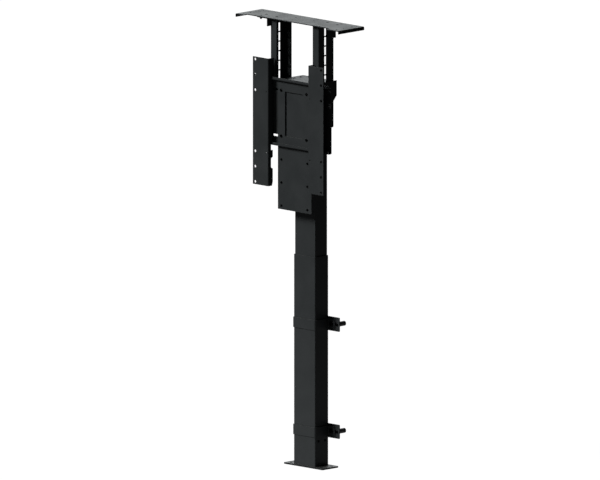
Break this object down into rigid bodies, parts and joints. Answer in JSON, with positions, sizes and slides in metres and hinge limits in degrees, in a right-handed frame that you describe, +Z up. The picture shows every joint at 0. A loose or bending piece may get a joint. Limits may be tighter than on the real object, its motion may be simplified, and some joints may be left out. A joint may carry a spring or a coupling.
{
  "type": "tv lift mechanism",
  "caption": "Floor-standing telescopic TV lift column in black steel, with wall clamps, hook-rail screen plate, hanging screen arms and slotted uprights under a lid plate.",
  "frame": {"origin": "on the floor, at the middle of the column, on the underside of the floor plate", "axes": "+X to the right seen from the front, +Y to the back (the wall side), +Z up along the lifting column"},
  "size_m": [0.469, 0.175, 1.463],
  "materials": {
    "black_coat": "matte",
    "glide_plastic": "satin",
    "rubber_tip": "matte",
    "steel": "satin",
    "alloy": "satin",
    "bronze": "satin",
    "zinc_screws": "satin"
  },
  "bodies": {
    "base": {"base_plate": "black_coat", "outer_column": "black_coat", "outer_glides": "glide_plastic", "motor": "steel", "gearbox": "alloy", "drive_block": "alloy", "block_screws": "zinc_screws", "thrust_bearing": "steel", "cable_gland": "glide_plastic", "upper_strap": "black_coat", "lower_strap": "black_coat", "upper_cross_plate": "black_coat", "lower_cross_plate": "black_coat", "clamp_bolts": "zinc_screws", "clamp_nuts": "zinc_screws", "wall_spacers": "zinc_screws", "spacer_tips": "rubber_tip", "spacer_screws": "zinc_screws"},
    "spindle": {"spindle": "steel", "spindle_stop": "steel"},
    "carriage": {"inner_column": "black_coat", "inner_glides": "glide_plastic", "nut_block": "glide_plastic", "nut_block_screws": "zinc_screws", "drive_nut": "bronze", "carrier_plate": "black_coat", "left_web": "black_coat", "right_web": "black_coat", "web_screws": "zinc_screws", "head_cap": "black_coat", "cap_screws": "zinc_screws", "head_channel": "black_coat", "head_screws": "zinc_screws", "screen_plate": "black_coat", "plate_screws": "zinc_screws", "left_shoe": "glide_plastic", "right_shoe": "glide_plastic", "left_clamp_plate": "black_coat", "right_clamp_plate": "black_coat", "lock_bolts": "zinc_screws", "lock_nuts": "zinc_screws"},
    "lid": {"left_upright": "black_coat", "right_upright": "black_coat", "left_bracket": "black_coat", "right_bracket": "black_coat", "left_angle": "black_coat", "right_angle": "black_coat", "bracket_bolts": "zinc_screws", "bracket_nuts": "zinc_screws", "lid_plate": "black_coat", "lid_screws": "zinc_screws", "lid_nuts": "zinc_screws"},
    "arm_left": {"left_arm": "black_coat"},
    "arm_right": {"right_arm": "black_coat"}
  },
  "joints": [
    {"name": "lift_slide", "type": "slide", "parent": "base", "child": "carriage", "axis": [0, 0, 1], "range_m": [-0.2, 0.19]},
    {"name": "spindle_spin", "type": "hinge", "parent": "base", "child": "spindle", "pos_m": [0, 0, 0.3], "axis": [0, 0, 1], "range_deg": [-7210, 6850]},
    {"name": "lid_slide", "type": "slide", "parent": "carriage", "child": "lid", "axis": [0, 0, 1], "range_m": [-0.009, 0.009]},
    {"name": "arm_left_slide", "type": "slide", "parent": "carriage", "child": "arm_left", "axis": [1, 0, 0], "range_m": [-0.05, 0.05]},
    {"name": "arm_right_slide", "type": "slide", "parent": "carriage", "child": "arm_right", "axis": [1, 0, 0], "range_m": [-0.05, 0.05]}
  ],
  "couplings": [
    {"joint": "spindle_spin", "follows": "lift_slide", "rad_per_m": 628.32}
  ]
}
